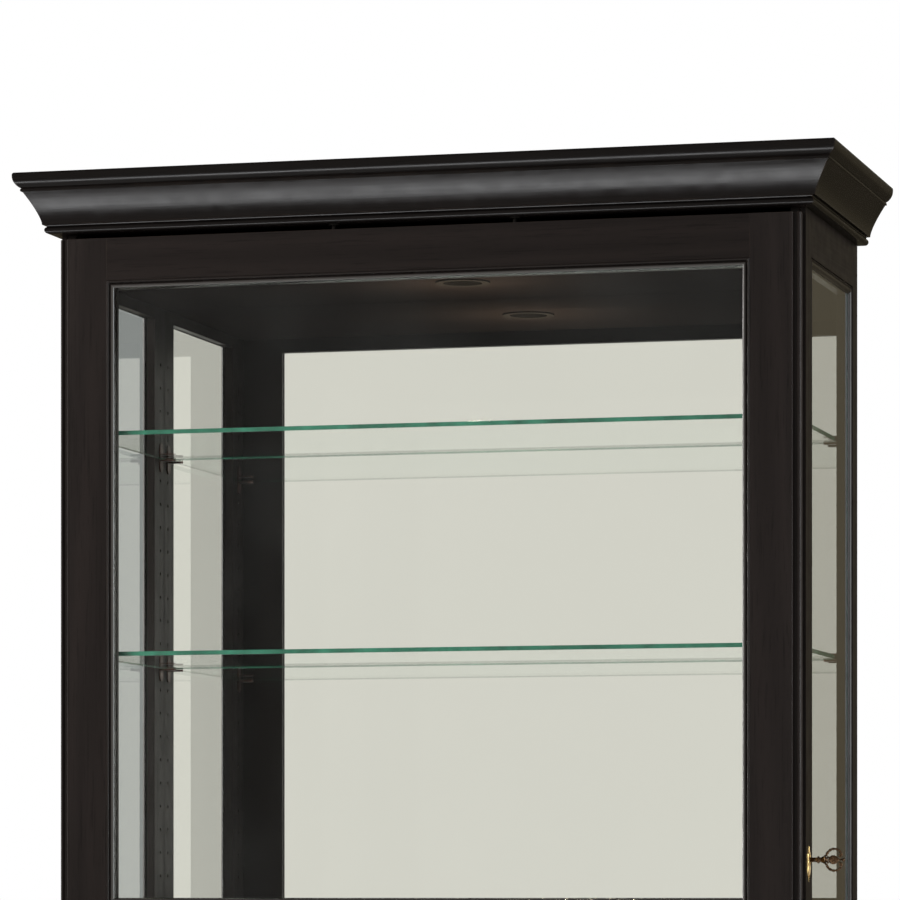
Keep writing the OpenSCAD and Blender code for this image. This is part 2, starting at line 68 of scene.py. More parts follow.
# ---------------------------------------------------------------- node helpers
class Mat:
    """A small helper round a node tree."""

    def __init__(self, name):
        self.m = bpy.data.materials.new(name)
        self.m.use_nodes = True
        self.t = self.m.node_tree
        self.t.nodes.clear()
        self.out = self.n("ShaderNodeOutputMaterial")

    def n(self, kind, **kw):
        node = self.t.nodes.new(kind)
        for k, v in kw.items():
            setattr(node, k, v)
        return node

    def link(self, a, b):
        self.t.links.new(a, b)

    def val(self, x, sock):
        if isinstance(x, (int, float)):
            sock.default_value = x
        elif isinstance(x, (tuple, list)):
            sock.default_value = tuple(x) + ((1.0,) if len(sock.default_value) == 4 and len(x) == 3 else ())
        else:
            self.link(x, sock)

    def math(self, op, a, b=0.0, c=0.0, clamp=False):
        node = self.n("ShaderNodeMath", operation=op, use_clamp=clamp)
        for i, x in enumerate((a, b, c)):
            self.val(x, node.inputs[i])
        return node.outputs[0]

    def ramp(self, fac, stops):
        node = self.n("ShaderNodeValToRGB")
        el = node.color_ramp.elements
        while len(el) < len(stops):
            el.new(0.5)
        for e, (p, c) in zip(el, stops):
            e.position = p
            e.color = tuple(c) + ((1.0,) if len(c) == 3 else ())
        self.val(fac, node.inputs[0])
        return node.outputs[0]

    def mapr(self, x, a0, a1, b0, b1):
        node = self.n("ShaderNodeMapRange")
        self.val(x, node.inputs[0])
        for i, v in enumerate((a0, a1, b0, b1)):
            self.val(v, node.inputs[i + 1])
        return node.outputs[0]

    def mix(self, fac, a, b):
        node = self.n("ShaderNodeMix", data_type="RGBA")
        self.val(fac, node.inputs[0])
        self.val(a, node.inputs[6])
        self.val(b, node.inputs[7])
        return node.outputs[2]

    def coords(self):
        return self.n("ShaderNodeTexCoord").outputs["Object"]

    def mapping(self, vec, scale=(1, 1, 1), loc=(0, 0, 0), rot=(0, 0, 0)):
        node = self.n("ShaderNodeMapping")
        self.link(vec, node.inputs[0])
        node.inputs["Scale"].default_value = scale
        node.inputs["Location"].default_value = loc
        node.inputs["Rotation"].default_value = rot
        return node.outputs[0]

    def noise(self, vec, scale, detail=4.0, rough=0.5, dist=0.0):
        node = self.n("ShaderNodeTexNoise")
        self.link(vec, node.inputs["Vector"])
        node.inputs["Scale"].default_value = scale
        node.inputs["Detail"].default_value = detail
        node.inputs["Roughness"].default_value = rough
        node.inputs["Distortion"].default_value = dist
        return node.outputs["Fac"]

    def edge_mask(self, radius, gain=6.0):
        """1 on edges and corners, 0 on flats."""
        bev = self.n("ShaderNodeBevel", samples=4)
        bev.inputs["Radius"].default_value = radius
        geo = self.n("ShaderNodeNewGeometry")
        dot = self.n("ShaderNodeVectorMath", operation="DOT_PRODUCT")
        self.link(bev.outputs[0], dot.inputs[0])
        self.link(geo.outputs["Normal"], dot.inputs[1])
        return self.math("MULTIPLY", self.math("SUBTRACT", 1.0, dot.outputs["Value"]), gain, clamp=True)

    def bump(self, height, strength, distance, normal=None):
        node = self.n("ShaderNodeBump")
        self.val(height, node.inputs["Height"])
        node.inputs["Strength"].default_value = strength
        node.inputs["Distance"].default_value = distance
        if normal is not None:
            self.link(normal, node.inputs["Normal"])
        return node.outputs[0]

    def principled(self, **kw):
        node = self.n("ShaderNodeBsdfPrincipled")
        for k, v in kw.items():
            self.val(v, node.inputs[k.replace("_", " ")])
        return node.outputs[0]

    def finish(self, shader):
        self.link(shader, self.out.inputs[0])
        return self.m


# ---------------------------------------------------------------- materials
def grain_vector(mt, vec, axis, offset):
    """Coordinates squeezed so that noise runs in streaks along the board."""
    fine = {"X": (1.6, 60, 60), "Y": (60, 1.6, 60), "Z": (60, 60, 1.6)}[axis]
    broad = {"X": (0.55, 7, 7), "Y": (7, 0.55, 7), "Z": (7, 7, 0.55)}[axis]
    return mt.mapping(vec, fine, offset), mt.mapping(vec, broad, offset)


def wood_shader(mt, fine, broad, tone=1.0, spec=0.2, rough0=0.37, relief=1.0, edge=True):
    """Near-black espresso stain over an open-grained wood, under a satin lacquer."""
    vec = mt.coords()
    pores = mt.noise(fine, 9.0, 6.0, 0.62, 0.15)
    streak = mt.noise(fine, 2.2, 5.0, 0.55, 0.6)
    wave = mt.n("ShaderNodeTexWave", wave_type="RINGS", rings_direction="SPHERICAL")
    mt.link(broad, wave.inputs["Vector"])
    wave.inputs["Scale"].default_value = 1.35
    wave.inputs["Distortion"].default_value = 6.5
    wave.inputs["Detail"].default_value = 3.0
    wave.inputs["Detail Scale"].default_value = 1.6
    cath = wave.outputs["Fac"]
    cloud = mt.noise(vec, 2.3, 3.0, 0.5)
    g = mt.math("ADD", mt.math("MULTIPLY", streak, 0.5), mt.math("MULTIPLY", cath, 0.30))
    g = mt.math("ADD", g, mt.math("MULTIPLY", cloud, 0.22))
    k = tone
    col = mt.ramp(g, [(0.25, (0.0069 * k, 0.0053 * k, 0.0049 * k)), (0.52, (0.0083 * k, 0.0064 * k, 0.0059 * k)),
                      (0.80, (0.0104 * k, 0.0079 * k, 0.0072 * k))])
    dark = mt.math("MULTIPLY", mt.math("LESS_THAN", pores, 0.41), 0.50)
    col = mt.mix(dark, col, (0.0026 * k, 0.0021 * k, 0.0019 * k))
    rough = mt.math("ADD", mt.mapr(streak, 0.3, 0.7, rough0 - 0.04, rough0 + 0.05),
                    mt.mapr(mt.noise(vec, 38.0, 3.0), 0.35, 0.65, -0.03, 0.04))
    if edge:
        wear = mt.edge_mask(0.0016, 4.0)
        wear = mt.math("MULTIPLY", wear, mt.mapr(mt.noise(vec, 26.0, 5.0, 0.7), 0.42, 0.62, 0.05, 0.45), clamp=True)
        col = mt.mix(wear, col, (0.030, 0.020, 0.014))
        rough = mt.math("ADD", rough, mt.math("MULTIPLY", wear, 0.05))
    b = mt.bump(pores, 0.20 * relief, 0.0004)
    b = mt.bump(mt.math("ADD", mt.math("MULTIPLY", streak, 0.6), mt.math("MULTIPLY", cath, 0.25)), 0.05 * relief, 0.0008, b)
    return mt.principled(Base_Color=col, Roughness=rough, Normal=b, Specular_IOR_Level=spec)


_wood = {}


def wood(axis, offset=(0, 0, 0), tone=1.0, spec=0.085, rough0=0.36, relief=1.0):
    key = (axis, offset, tone, spec, rough0, relief)
    if key not in _wood:
        mt = Mat("espresso_%s_%d" % (axis.lower(), len(_wood)))
        fine, broad = grain_vector(mt, mt.coords(), axis, offset)
        _wood[key] = mt.finish(wood_shader(mt, fine, broad, tone, spec, rough0, relief))
    return _wood[key]


def wood_ring(name, u, v, c, half, spec):
    """Grain that turns at the mitres of a rectangular ring: u and v are axis letters, c the centre, half the outer half sizes."""
    mt = Mat(name)
    vec = mt.coords()
    sep = mt.n("ShaderNodeSeparateXYZ")
    mt.link(vec, sep.inputs[0])
    du = mt.math("SUBTRACT", mt.math("ABSOLUTE", mt.math("SUBTRACT", sep.outputs[u], c[0])), half[0])
    dv = mt.math("SUBTRACT", mt.math("ABSOLUTE", mt.math("SUBTRACT", sep.outputs[v], c[1])), half[1])
    along_v = mt.math("GREATER_THAN", du, dv)
    fu, bu = grain_vector(mt, vec, u, (0.3, 0.2, 0.1))
    fv, bv = grain_vector(mt, vec, v, (0.5, 0.1, 0.4))
    outs = []
    for a, b in ((fu, fv), (bu, bv)):
        mx = mt.n("ShaderNodeMix", data_type="VECTOR")
        mt.link(along_v, mx.inputs[0])
        mt.link(a, mx.inputs[4])
        mt.link(b, mx.inputs[5])
        outs.append(mx.outputs[1])
    # the inner step of the bead, next to the glass, has the higher polish
    depth = mt.math("MAXIMUM", du, dv)
    polish = mt.mapr(depth, -0.0072, -0.0052, spec * 2.0, spec * 0.35)
    return mt.finish(wood_shader(mt, outs[0], outs[1], 1.0, polish, 0.21))


def pane(name, axis, tint=(0.975, 0.98, 0.975), edge_col=(0.05, 0.20, 0.14), gain=1.0, cap=1.0):
    """Thin clear glass: one Fresnel reflection for the pane, green cut edges and a faint film of dust."""
    mt = Mat(name)
    vec = mt.coords()
    geo = mt.n("ShaderNodeNewGeometry")
    fres = mt.n("ShaderNodeFresnel")
    fres.inputs["IOR"].default_value = 1.5
    f = fres.outputs[0]
    both = mt.math("DIVIDE", mt.math("MULTIPLY", f, 2.0), mt.math("ADD", f, 1.0))
    both = mt.math("MULTIPLY", both, mt.math("SUBTRACT", 1.0, geo.outputs["Backfacing"]))
    both = mt.math("MINIMUM", mt.math("MULTIPLY", both, gain), cap)
    clear = mt.n("ShaderNodeBsdfTransparent")
    clear.inputs[0].default_value = tint + (1.0,)
    gl = mt.n("ShaderNodeBsdfGlossy")
    gl.inputs["Color"].default_value = (1, 1, 1, 1)
    mt.val(mt.mapr(mt.noise(vec, 5.0, 4.0), 0.3, 0.7, 0.0, 0.012), gl.inputs["Roughness"])
    mt.link(mt.bump(mt.noise(vec, 1.7, 2.0), 0.05, 0.0006), gl.inputs["Normal"])
    face = mt.n("ShaderNodeMixShader")
    mt.val(both, face.inputs[0])
    mt.link(clear.outputs[0], face.inputs[1])
    mt.link(gl.outputs[0], face.inputs[2])
    dust = mt.n("ShaderNodeBsdfDiffuse")
    dust.inputs[0].default_value = (0.8, 0.82, 0.8, 1)
    dusty = mt.n("ShaderNodeMixShader")
    mt.val(mt.mapr(mt.noise(vec, 3.1, 5.0, 0.6), 0.45, 0.75, 0.0, 0.006), dusty.inputs[0])
    mt.link(face.outputs[0], dusty.inputs[1])
    mt.link(dust.outputs[0], dusty.inputs[2])
    sep = mt.n("ShaderNodeSeparateXYZ")
    mt.link(geo.outputs["True Normal"], sep.inputs[0])
    is_face = mt.math("GREATER_THAN", mt.math("ABSOLUTE", sep.outputs[axis]), 0.72)
    col = mt.ramp(mt.noise(mt.mapping(vec, (9, 9, 9)), 3.0, 4.0, 0.6),
                  [(0.3, tuple(x * 0.55 for x in edge_col)), (0.7, tuple(min(1, x * 1.35) for x in edge_col))])
    edge = mt.principled(Base_Color=col, Roughness=0.16, Specular_IOR_Level=0.35)
    # a cut edge seen from inside the glass is squeezed to a thin green line, and is faint in a reflection
    gz = mt.n("ShaderNodeSeparateXYZ")
    mt.link(mt.n("ShaderNodeTexCoord").outputs["Generated"], gz.inputs[0])
    line = mt.math("LESS_THAN", gz.outputs["Z"], 0.40) if axis == "Z" else 1.0
    inside = mt.math("MULTIPLY", geo.outputs["Backfacing"], mt.math("SUBTRACT", 1.0, line))
    faint = mt.math("MULTIPLY", mt.n("ShaderNodeLightPath").outputs["Is Glossy Ray"], 0.62)
    haze = mt.n("ShaderNodeBsdfTransparent")
    haze.inputs[0].default_value = (0.965, 0.985, 0.97, 1)
    cut = mt.n("ShaderNodeMixShader")
    mt.link(mt.math("MAXIMUM", mt.math("MULTIPLY", inside, 0.94), faint), cut.inputs[0])
    mt.link(edge, cut.inputs[1])
    mt.link(haze.outputs[0], cut.inputs[2])
    mx = mt.n("ShaderNodeMixShader")
    mt.link(is_face, mx.inputs[0])
    mt.link(cut.outputs[0], mx.inputs[1])
    mt.link(dusty.outputs[0], mx.inputs[2])
    return mt.finish(mx.outputs[0])


def metal(name, col, dark, rough, scale=60.0, patina=0.5, metallic=1.0, edge_col=None, spec=0.5):
    mt = Mat(name)
    vec = mt.coords()
    n1 = mt.noise(vec, scale, 6.0, 0.6)
    n2 = mt.noise(vec, scale * 6, 4.0, 0.6)
    f = mt.mapr(mt.math("ADD", mt.math("MULTIPLY", n1, 0.7), mt.math("MULTIPLY", n2, 0.3)), 0.40, 0.62, 0.0, 1.0)
    c = mt.mix(mt.math("MULTIPLY", f, patina, clamp=True), col, dark)
    if edge_col is not None:
        c = mt.mix(mt.math("MULTIPLY", mt.edge_mask(0.0006, 5.0), 0.8, clamp=True), c, edge_col)
    r = mt.mapr(n1, 0.3, 0.7, rough * 0.75, rough * 1.35)
    b = mt.bump(n2, 0.12, 0.0002)
    return mt.finish(mt.principled(Base_Color=c, Metallic=metallic, Roughness=r, Normal=b, Specular_IOR_Level=spec))


def brushed(name, col, axis, rough=0.32):
    mt = Mat(name)
    vec = mt.coords()
    sc = {"X": (3, 900, 900), "Y": (900, 3, 900), "Z": (900, 900, 3)}[axis]
    n = mt.noise(mt.mapping(vec, sc), 1.0, 4.0, 0.6)
    c = mt.mix(mt.mapr(n, 0.3, 0.7, 0.0, 0.5), col, tuple(x * 0.6 for x in col))
    return mt.finish(mt.principled(Base_Color=c, Metallic=1.0, Roughness=mt.mapr(n, 0.3, 0.7, rough * 0.8, rough * 1.3),
                                   Normal=mt.bump(n, 0.1, 0.0002)))


def plastic(name, col, rough, scale=300.0, strength=0.15):
    mt = Mat(name)
    vec = mt.coords()
    n = mt.noise(vec, scale, 4.0, 0.6)
    big = mt.noise(vec, 25.0, 3.0, 0.5)
    c = mt.mix(mt.mapr(big, 0.3, 0.7, 0.0, 1.0), tuple(x * 0.82 for x in col), tuple(min(1, x * 1.12) for x in col))
    return mt.finish(mt.principled(Base_Color=c, Roughness=mt.mapr(n, 0.3, 0.7, rough * 0.85, rough * 1.2),
                                   Normal=mt.bump(n, strength, 0.0002)))


def mirror_material():
    mt = Mat("mirror_glass")
    vec = mt.coords()
    geo = mt.n("ShaderNodeNewGeometry")
    sep = mt.n("ShaderNodeSeparateXYZ")
    mt.link(geo.outputs["Normal"], sep.inputs[0])
    front = mt.math("LESS_THAN", sep.outputs["Y"], -0.7)
    cloud = mt.noise(vec, 1.3, 3.0)
    col = mt.mix(mt.mapr(cloud, 0.3, 0.7, 0.0, 1.0), (0.870, 0.880, 0.865), (0.890, 0.898, 0.880))
    silver = mt.principled(Base_Color=col, Metallic=1.0, Roughness=mt.mapr(mt.noise(vec, 7.0, 4.0), 0.4, 0.8, 0.0, 0.015),
                           Normal=mt.bump(mt.noise(vec, 0.9, 1.0), 0.03, 0.0004))
    back = mt.principled(Base_Color=mt.mix(mt.noise(vec, 40.0), (0.10, 0.11, 0.12), (0.16, 0.17, 0.17)), Roughness=0.6)
    mx = mt.n("ShaderNodeMixShader")
    mt.link(front, mx.inputs[0])
    mt.link(back, mx.inputs[1])
    mt.link(silver, mx.inputs[2])
    return mt.finish(mx.outputs[0])


def lamp_material():
    mt = Mat("lamp_glow")
    vec = mt.coords()
    sep = mt.n("ShaderNodeSeparateXYZ")
    geo = mt.n("ShaderNodeNewGeometry")
    mt.link(geo.outputs["Normal"], sep.inputs[0])
    down = mt.math("LESS_THAN", sep.outputs["Z"], -0.5)
    em = mt.n("ShaderNodeEmission")
    v = mt.n("ShaderNodeTexVoronoi")
    mt.link(vec, v.inputs["Vector"])
    v.inputs["Scale"].default_value = 260.0
    mt.link(mt.ramp(v.outputs["Distance"], [(0.0, (1.0, 0.86, 0.62)), (0.7, (1.0, 0.72, 0.42))]), em.inputs["Color"])
    em.inputs["Strength"].default_value = 0.7
    body = mt.principled(Base_Color=mt.mix(mt.noise(vec, 80.0), (0.5, 0.48, 0.44), (0.62, 0.6, 0.55)), Roughness=0.25)
    mx = mt.n("ShaderNodeMixShader")
    mt.link(down, mx.inputs[0])
    mt.link(body, mx.inputs[1])
    mt.link(em.outputs[0], mx.inputs[2])
    return mt.finish(mx.outputs[0])


BRONZE = metal("clip_bronze", (0.060, 0.026, 0.019), (0.020, 0.010, 0.008), 0.36, 90.0, 0.7, metallic=0.6, edge_col=(0.16, 0.08, 0.055))
KEYB = metal("key_bronze", (0.150, 0.088, 0.048), (0.016, 0.011, 0.009), 0.27, 420.0, 0.95, edge_col=(0.60, 0.40, 0.22))
BRASS = metal("escutcheon_brass", (0.86, 0.62, 0.27), (0.55, 0.36, 0.13), 0.30, 70.0, 0.45, edge_col=(1.0, 0.80, 0.42))
LOCKB = brushed("lock_brass", (0.72, 0.53, 0.25), "X", 0.28)
ZINC = brushed("zinc", (0.60, 0.60, 0.58), "X", 0.36)
ALU = brushed("track_aluminium", (0.72, 0.72, 0.72), "X", 0.30)
FOOT = metal("foot_black", (0.045, 0.045, 0.045), (0.02, 0.02, 0.02), 0.45, 80.0, 0.6, metallic=0.3, edge_col=(0.2, 0.2, 0.2))
NYLON = plastic("nylon_wheel", (0.72, 0.70, 0.64), 0.42)
BLACKP = plastic("black_cord", (0.020, 0.020, 0.020), 0.5)
BUTTON = plastic("switch_button_plastic", (0.55, 0.52, 0.48), 0.28)
CAN = metal("lamp_can_paint", (0.0110, 0.0100, 0.0090), (0.007, 0.006, 0.0055), 0.55, 120.0, 0.6, metallic=0.0, edge_col=(0.014, 0.012, 0.011), spec=0.0)
SHELF_GLASS = pane("shelf_glass", "Z", (0.965, 0.985, 0.975), (0.020, 0.118, 0.074), 0.8, 0.45)
DOOR_GLASS = pane("door_glass", "Y", (0.975, 0.98, 0.975), gain=0.14, cap=0.5)
SIDE_GLASS = pane("side_glass", "X", (0.960, 0.968, 0.958), cap=0.5)

# ---------------------------------------------------------------- finishes for the CAD nodes
AXIS = {}
for n in NODES:
    if n in ("left_front_stile", "left_rear_stile", "right_front_stile", "right_rear_stile", "door_left_stile",
             "door_right_stile", "leveler_blocks"):
        AXIS[n] = "Z"
    elif n in ("left_top_rail", "left_bottom_rail", "right_top_rail", "right_bottom_rail", "plinth_left",
               "plinth_right", "crown_left", "crown_right"):
        AXIS[n] = "Y"
    elif n in ("plinth_front", "plinth_back", "bottom_deck", "top_panel", "crown_frame", "crown_front", "dust_cover",
               "back_panel", "door_top_rail", "door_mid_rail", "door_bottom_rail"):
        AXIS[n] = "X"
INNER = {"leveler_blocks", "bottom_deck", "top_panel", "crown_frame", "dust_cover", "back_panel", "plinth_back"}


def give(name, material):
    me = NODES[name].data
    me.materials.clear()
    me.materials.append(material)
    for p in me.polygons:
        p.material_index = 0


def round_edges(name, width, segments=2):
    """Eased arrises on a carried-over board: weld the split corners, then a small bevel."""
    o = NODES[name]
    me = o.data
    if "custom_normal" in me.attributes:
        me.attributes.remove(me.attributes["custom_normal"])
    for p in me.polygons:
        p.use_smooth = True
    w = o.modifiers.new("weld", "WELD")
    w.merge_threshold = 0.00002
    b = o.modifiers.new("ease", "BEVEL")
    b.width = width
    b.segments = segments
    b.limit_method = "ANGLE"
    b.angle_limit = math.radians(32)
    b.harden_normals = True
    b.use_clamp_overlap = True


for i, n in enumerate(sorted(AXIS)):
    off = (0.37 * i % 3.1, 0.61 * i % 2.3, 0.83 * i % 2.9)
    # painted light: the inner and hidden boards, except the top panel, take the same wood drawn lighter (tone 1.6); all
    # of them have no sheen
    if n in INNER:
        give(n, wood(AXIS[n], off, 0.9 if n == "top_panel" else 1.6, 0.0, 0.6, 0.1))
    # painted shade: the crown mouldings take the same wood drawn far darker (tone 0.28), with a glossier finish
    elif n in ("crown_front", "crown_left", "crown_right"):
        give(n, wood(AXIS[n], off, 0.28, 0.085, 0.185, 0.45))
    else:
        give(n, wood(AXIS[n], off))
for n in AXIS:
    round_edges(n, 0.0007 if n.startswith("crown") or n.startswith("plinth_") else 0.0003)

dlo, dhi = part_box("door_bead_upper")
for n in ("door_bead_upper", "door_bead_lower"):
    lo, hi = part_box(n)
    give(n, wood_ring("espresso_" + n, "X", "Z", ((lo.x + hi.x) / 2, (lo.z + hi.z) / 2), ((hi.x - lo.x) / 2, (hi.z - lo.z) / 2), 0.5))
    round_edges(n, 0.0003)
for n in ("left_bead", "right_bead"):
    lo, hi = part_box(n)
    give(n, wood_ring("espresso_" + n, "Y", "Z", ((lo.y + hi.y) / 2, (lo.z + hi.z) / 2), ((hi.y - lo.y) / 2, (hi.z - lo.z) / 2), 0.2))
    round_edges(n, 0.0003)

for n, m in {"left_glass": SIDE_GLASS, "right_glass": SIDE_GLASS, "door_glass_upper": DOOR_GLASS,
             "door_glass_lower": DOOR_GLASS, "back_mirror": mirror_material(), "back_screws": ZINC,
             "door_track": ALU, "roller_brackets": CAN, "roller_left": NYLON, "roller_right": NYLON,
             "guide_pins": CAN, "lock_body": LOCKB, "lock_plug": LOCKB, "door_strike": LOCKB, "cord_switch": BLACKP,
             "switch_button": BUTTON, "lamp_housing": CAN, "leveler_front_left": FOOT, "leveler_front_right": FOOT,
             "leveler_rear_left": FOOT, "leveler_rear_right": FOOT, "lamp_bulb": lamp_material(),
             "shelf_clips": BRONZE, "escutcheon": BRASS, "key": KEYB}.items():
    give(n, m)
for i in range(1, 6):
    give("shelf_%d" % i, SHELF_GLASS)
for i in range(1, 6):
    round_edges("shelf_%d" % i, 0.0008)
for n in ("shelf_clips", "guide_pins"):
    round_edges(n, 0.0004)
for n in ("lock_plug", "lock_body", "leveler_front_left", "leveler_front_right", "leveler_rear_left",
          "leveler_rear_right", "lamp_housing", "switch_button", "roller_brackets", "door_strike"):
    round_edges(n, 0.0003)

# ---------------------------------------------------------------- key and escutcheon
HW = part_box("right_front_stile")[1].x * 1000          # outer face of the side, mm
klo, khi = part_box("key")
LY, LZ = (klo.y + khi.y) * 500, (klo.z + khi.z) * 500  # lock axis, mm: the key is even about it


def at(x, y, z):
    """Millimetres: x absolute, y and z from the lock axis."""
    return Vector((x, LY + y, LZ + z)) * 0.001


def skin(bm, rings):
    """Closed skin over a list of rings. A ring of one point closes an end."""
    for a, b in zip(rings, rings[1:]):
        if len(a) == 1 and len(b) == 1:
            continue
        n = max(len(a), len(b))
        for k in range(n):
            q = [a[k % len(a)], a[(k + 1) % len(a)], b[(k + 1) % len(b)], b[k % len(b)]]
            face = []
            for v in q:
                if v not in face:
                    face.append(v)
            bm.faces.new(face)


def lathe(bm, profile, seg=28):
    rings = []
    for x, r in profile:
        if r < 1e-6:
            rings.append([bm.verts.new(at(x, 0, 0))])
        else:
            rings.append([bm.verts.new(at(x, r * math.cos(2 * math.pi * k / seg), r * math.sin(2 * math.pi * k / seg)))
                          for k in range(seg)])
    skin(bm, rings)


def spline(pts, per=6):
    out = []
    for k in range(len(pts) - 1):
        p0, p1, p2, p3 = (Vector(pts[max(0, min(len(pts) - 1, k + d))]) for d in (-1, 0, 1, 2))
        for j in range(per):
            t = j / per
            out.append(0.5 * ((2 * p1) + (p2 - p0) * t + (2 * p0 - 5 * p1 + 4 * p2 - p3) * t * t
                              + (3 * p1 - p0 - 3 * p2 + p3) * t ** 3))
    out.append(Vector(pts[-1]))
    return out


def rope(bm, pts, radius, pitch=4.6, depth=0.20, seg=16):
    """A twisted two-strand bar along points given as (x, z) in the key's plane."""
    path = spline(pts, 9)
    total = sum((b - a).length for a, b in zip(path, path[1:]))
    s_at, rings = 0.0, []
    for k, p in enumerate(path):
        a, b = path[max(0, k - 1)], path[min(len(path) - 1, k + 1)]
        t = (b - a).normalized()
        nx, nz = -t[1], t[0]
        if k:
            s_at += (p - path[k - 1]).length
        u = s_at / total
        r = radius * (1.0 - 0.28 * u) * (0.55 if k in (0, len(path) - 1) else 1.0)
        ring = []
        for j in range(seg):
            ang = 2 * math.pi * j / seg
            rr = r * (1 + depth * math.cos(2 * ang - 2 * math.pi * s_at / pitch))
            ring.append(bm.verts.new(at(p[0] + nx * rr * math.cos(ang), rr * math.sin(ang), p[1] + nz * rr * math.cos(ang))))
        rings.append(ring)
    ends = [[bm.verts.new(at(path[0][0], 0, path[0][1]))], [bm.verts.new(at(path[-1][0], 0, path[-1][1]))]]
    skin(bm, [ends[0]] + rings + [ends[1]])


def pearl(bm, x, z, r, squash=1.0):
    rings = [[bm.verts.new(at(x - r, 0, z))]]
    for i in range(1, 9):
        th = math.pi * i / 9
        rings.append([bm.verts.new(at(x - r * math.cos(th), squash * r * math.sin(th) * math.cos(2 * math.pi * k / 14),
                                      z + r * math.sin(th) * math.sin(2 * math.pi * k / 14))) for k in range(14)])
    rings.append([bm.verts.new(at(x + r, 0, z))])
    skin(bm, rings)


def loft(bm, stations, seg=20, power=2.0):
    """Stations (x, half thickness along y, half width along z) of a superellipse section; ends close to a point."""
    rings = []
    for x, h, w in stations:
        ring = []
        for k in range(seg):
            a = 2 * math.pi * k / seg
            c, sn = math.cos(a), math.sin(a)
            ring.append(bm.verts.new(at(x, h * math.copysign(abs(c) ** (2 / power), c), w * math.copysign(abs(sn) ** (2 / power), sn))))
        rings.append(ring)
    x0, x1 = stations[0][0], stations[-1][0]
    skin(bm, [[bm.verts.new(at(x0, 0, 0))]] + rings + [[bm.verts.new(at(x1, 0, 0))]])


def piece(bm, name, material, body, stands_for, sharp=38):
    bmesh.ops.recalc_face_normals(bm, faces=bm.faces)
    me = bpy.data.meshes.new(name)
    bm.to_mesh(me)
    bm.free()
    for p in me.polygons:
        p.use_smooth = True
    me.set_sharp_from_angle(angle=math.radians(sharp))
    me.materials.append(material)
    o = bpy.data.objects.new(name, me)
    COLL.objects.link(o)
    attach(o, body)
    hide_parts(stands_for)
    return o


k0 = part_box("key")[0].x * 1000
bm = bmesh.new()
loft(bm, [(k0, 0.8, 3.0), (k0 + 0.5, 1.0, 3.4), (k0 + 6, 1.0, 3.5), (HW - 6, 1.0, 3.5), (HW + 1.5, 1.0, 3.5)], 20, 6.0)
lathe(bm, [(HW + d, r) for d, r in (
    (0.3, 0), (0.3, 2.6), (0.6, 2.9), (10.0, 2.9), (10.3, 3.3), (11.0, 3.5), (11.7, 4.4), (12.5, 4.8), (13.3, 4.4), (14.0, 3.5),
    (14.6, 3.0), (15.3, 2.7), (16.0, 2.9), (16.6, 3.6), (18.0, 4.2), (19.6, 5.1), (20.6, 6.2), (21.2, 6.8), (21.6, 6.4),
    (22.0, 4.9), (22.8, 3.4), (23.8, 2.6), (24.6, 2.0), (24.8, 0))])
lathe(bm, [(HW + d, r) for d, r in (
    (38.4, 0), (38.4, 0.9), (41.6, 1.0), (42.4, 1.6), (43.2, 2.2), (44.3, 2.5), (45.4, 2.2), (46.2, 1.4), (46.6, 0))], 20)
leaf = []
for i in range(1, 14):
    t = i / 14
    leaf.append((HW + 24.0 + 15.6 * t, 0.35 + 1.35 * math.sin(math.pi * t) ** 0.7, 0.3 + 5.5 * math.sin(math.pi * t ** 0.88) ** 0.85))
loft(bm, leaf, 24, 1.5)
for sgn in (1, -1):
    rope(bm, [(HW + d, sgn * z) for d, z in ((22.4, 4.6), (24.0, 8.8), (27.4, 12.1), (32.0, 13.7), (36.8, 12.8), (40.4, 10.0),
                                            (41.9, 6.9), (41.3, 4.3), (39.6, 4.1), (38.8, 5.6))], 1.65)
    pearl(bm, HW + 39.6, sgn * 6.6, 1.35, 0.9)
    pearl(bm, HW + 24.6, sgn * 3.4, 1.3, 0.9)
piece(bm, "key_ornate", KEYB, "key", "key", 45)

elo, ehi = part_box("escutcheon")
EC = (elo.z + ehi.z) * 500 - LZ                        # centre of the plate below the lock axis, mm
half = [(0, 22.8), (1.0, 20.5), (2.0, 18.2), (1.6, 17.0), (2.6, 16.2), (5.6, 15.4), (7.8, 13.0), (8.6, 10.0), (8.0, 6.5),
        (7.6, 3.0), (8.4, 0.0)]
right = spline(half + [(w, -z) for w, z in half[-2::-1]], 4)
outline = [(w, z) for w, z in right] + [(-w, z) for w, z in right[-2:0:-1]]
angles, last = [], math.pi / 2
for w, z in outline:
    a = math.atan2(z + EC, w)
    while a > last + 1.0:
        a -= 2 * math.pi
    a = min(a, last - 0.004) if angles else math.pi / 2
    angles.append(a)
    last = a
bm = bmesh.new()
rings = []
for t, h in ((0.0, 0.0), (0.0, 1.2), (0.06, 1.75), (0.14, 1.8), (0.20, 1.35), (0.40, 1.6), (0.62, 1.45), (0.82, 1.0), (0.94, 0.5),
             (1.0, 0.12), (1.0, 0.0)):
    ring = []
    for (w, z), a in zip(outline, angles):
        hy, hz = 6.4 * math.cos(a), 6.4 * math.sin(a)
        ring.append(bm.verts.new(at(HW + h, hy + (w - hy) * t, hz + (z + EC - hz) * t)))
    rings.append(ring)
skin(bm, rings + [rings[0]])
piece(bm, "escutcheon_plate", BRASS, "case", "escutcheon", 50)

